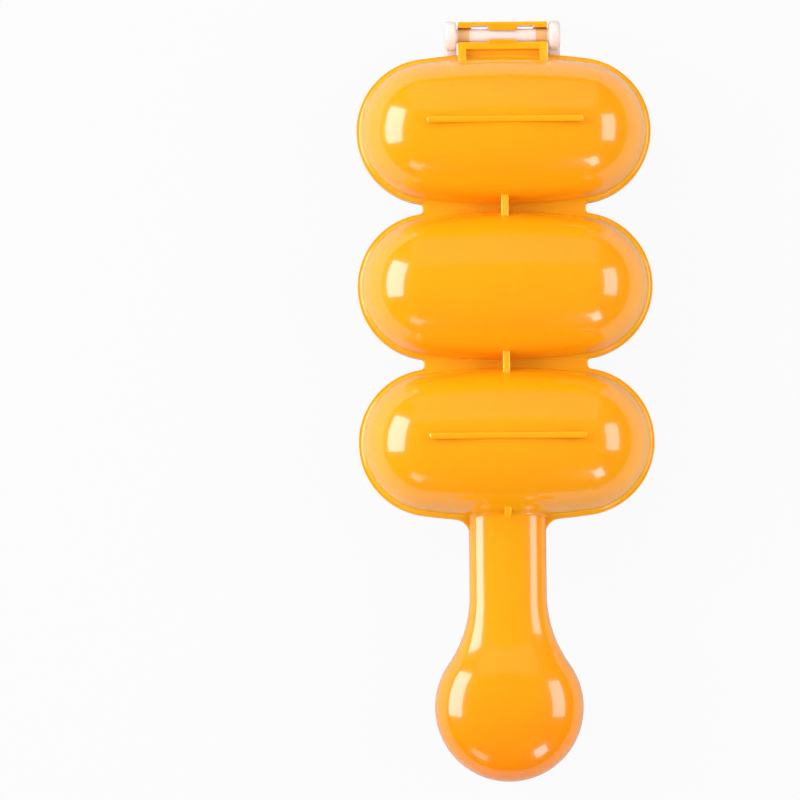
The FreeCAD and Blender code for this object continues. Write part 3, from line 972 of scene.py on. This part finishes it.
def add_camera():
    """The camera that looks down on the mould."""
    back = Vector((0, -math.sin(CAMERA_TILT), math.cos(CAMERA_TILT)))
    up = Vector((0, math.cos(CAMERA_TILT), math.sin(CAMERA_TILT)))
    right = Vector((1, 0, 0))
    turned_back = back * math.cos(CAMERA_YAW) + right * math.sin(CAMERA_YAW)
    turned_right = right * math.cos(CAMERA_YAW) - back * math.sin(CAMERA_YAW)
    cam_right = turned_right * math.cos(CAMERA_ROLL) - up * math.sin(CAMERA_ROLL)
    cam_up = turned_right * math.sin(CAMERA_ROLL) + up * math.cos(CAMERA_ROLL)
    eye = Vector(CAMERA_TARGET) + CAMERA_DISTANCE * turned_back
    data = bpy.data.cameras.new("camera")
    data.lens = CAMERA_LENS
    data.clip_end = 20
    bpy.context.scene.camera = put_facing("camera", data, (cam_right, cam_up, turned_back), eye)


def toward(side_angle, back_angle):
    """The direction that leans from upright by one angle towards +X and by the other towards +Y."""
    side, back = math.radians(side_angle), math.radians(back_angle)
    return Vector((math.sin(side) * math.cos(back), math.sin(back), math.cos(side) * math.cos(back)))


def add_lights():
    """Two softboxes beside the mould, a broad dim one behind the hinge and two kickers in front."""
    for name, (lean, distance, size, radiance) in LAMPS.items():
        data = bpy.data.lights.new(name, "AREA")
        data.shape = "RECTANGLE"
        data.size, data.size_y = size
        data.energy = radiance * math.pi * size[0] * size[1]
        away = toward(*lean)
        side = Vector((0, 0, 1)).cross(away).normalized()
        put_facing(name, data, (side, away.cross(side), away), Vector(LAMP_AIM) + away * distance)


def add_world():
    """Pale light, brightest overhead and behind the hinge, dark to gloss and white to the camera."""
    world = bpy.data.worlds.new("studio")
    bpy.context.scene.world = world
    world.cycles.sampling_method = "NONE"
    world.use_nodes = True
    nodes, links = world.node_tree.nodes, world.node_tree.links
    nodes.clear()

    def background(strength):
        node = nodes.new("ShaderNodeBackground")
        node.inputs["Color"].default_value = (1, 1, 1, 1)
        node.inputs["Strength"].default_value = strength
        return node.outputs[0]

    sky = nodes.new("ShaderNodeSeparateXYZ")
    links.new(nodes.new("ShaderNodeTexCoord").outputs["Generated"], sky.inputs[0])
    _, y, z = sky.outputs
    height = calculate(nodes, links, "MULTIPLY_ADD", z, z, SIDE_SHARE)
    overhead = calculate(nodes, links, "MULTIPLY_ADD", y, BACK_SHARE, height)
    ambient = choose(nodes, links, overhead, background(AMBIENT[0]), background(AMBIENT[1]))
    path = nodes.new("ShaderNodeLightPath").outputs
    light = choose(nodes, links, path["Is Glossy Ray"], ambient, background(CEILING))
    seen = calculate(nodes, links, "MAXIMUM", path["Is Camera Ray"], path["Is Transmission Ray"])
    surface = choose(nodes, links, seen, light, background(1.0))
    links.new(surface, nodes.new("ShaderNodeOutputWorld").inputs["Surface"])


def add_floor(colour):
    """A wide plain floor under the mould's foot ribs."""
    reach, z = FLOOR_REACH, cad_low.z
    corners = [(-reach, -reach, z), (reach, -reach, z), (reach, reach, z), (-reach, reach, z)]
    mesh = bpy.data.meshes.new("floor")
    mesh.from_pydata(corners, [], [(0, 1, 2, 3)])
    mesh.materials.append(floor_material(colour))
    floor = bpy.data.objects.new("floor", mesh)
    bpy.context.scene.collection.objects.link(floor)


# --- Operators and panel ---


class MOULD_OT_upper_shell(bpy.types.Operator):
    """Build the glossy orange upper half shell with its hook"""

    bl_idname = "mould.upper_shell"
    bl_label = "Upper Shell"

    def execute(self, context):
        plan = Plan(context.scene.mould_sizes)
        colours = context.scene.mould_colours
        material = orange_plastic(colours.orange, colours.thin_orange)
        reach = plan.sizes.hook_half_width * BORE_LENGTH
        bore = cylinder("bore", plan.bore_radius, -reach, reach, (plan.pin_y, 0))
        place = Matrix.Translation((0, 0, HINGE[2]))
        piece = half_shell("upper_shell_skin", plan, hook_forms(plan), [bore], material, place)
        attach(piece, "upper")
        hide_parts("upper_shell")
        return {"FINISHED"}


class MOULD_OT_lower_shell(bpy.types.Operator):
    """Build the milky lower half shell, the same form turned over, with its ears and pin bar"""

    bl_idname = "mould.lower_shell"
    bl_label = "Lower Shell"

    def execute(self, context):
        plan = Plan(context.scene.mould_sizes)
        colours = context.scene.mould_colours
        material = milky_plastic(colours.milk, colours.peach)
        place = Matrix.Translation((0, 0, HINGE[2])) @ Matrix.Rotation(math.pi, 4, "Y")
        piece = half_shell("lower_shell_skin", plan, ear_forms(plan), [], material, place)
        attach(piece, "lower")
        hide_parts("lower_shell")
        return {"FINISHED"}


class MOULD_OT_stage(bpy.types.Operator):
    """Build the floor, the lights, the world and the camera"""

    bl_idname = "mould.stage"
    bl_label = "Stage"

    def execute(self, context):
        add_floor(context.scene.mould_colours.floor)
        add_lights()
        add_world()
        add_camera()
        context.scene.view_settings.view_transform = "Standard"
        return {"FINISHED"}


class MOULD_PT_panel(bpy.types.Panel):
    """Rice mould builder"""

    bl_idname = "MOULD_PT_panel"
    bl_label = "Rice Mould"
    bl_space_type = "VIEW_3D"
    bl_region_type = "UI"
    bl_category = "Rice Mould"

    def draw(self, context):
        layout = self.layout
        for operator in OPERATORS:
            layout.operator(operator.bl_idname)
        for group in (context.scene.mould_colours, context.scene.mould_sizes):
            for name in group.bl_rna.properties.keys():
                if name not in ("rna_type", "name"):
                    layout.prop(group, name)


OPERATORS = (MOULD_OT_upper_shell, MOULD_OT_lower_shell, MOULD_OT_stage)
CLASSES = (MouldSizes, MouldColours) + OPERATORS + (MOULD_PT_panel,)


def register():
    for cls in CLASSES:
        bpy.utils.register_class(cls)
    bpy.types.Scene.mould_sizes = PointerProperty(type=MouldSizes)
    bpy.types.Scene.mould_colours = PointerProperty(type=MouldColours)


def unregister():
    del bpy.types.Scene.mould_colours
    del bpy.types.Scene.mould_sizes
    for cls in reversed(CLASSES):
        bpy.utils.unregister_class(cls)


def main():
    """Registers the classes and builds everything in order."""
    register()
    bpy.ops.mould.upper_shell()
    bpy.ops.mould.lower_shell()
    bpy.ops.mould.stage()


if __name__ == "__main__":
    main()
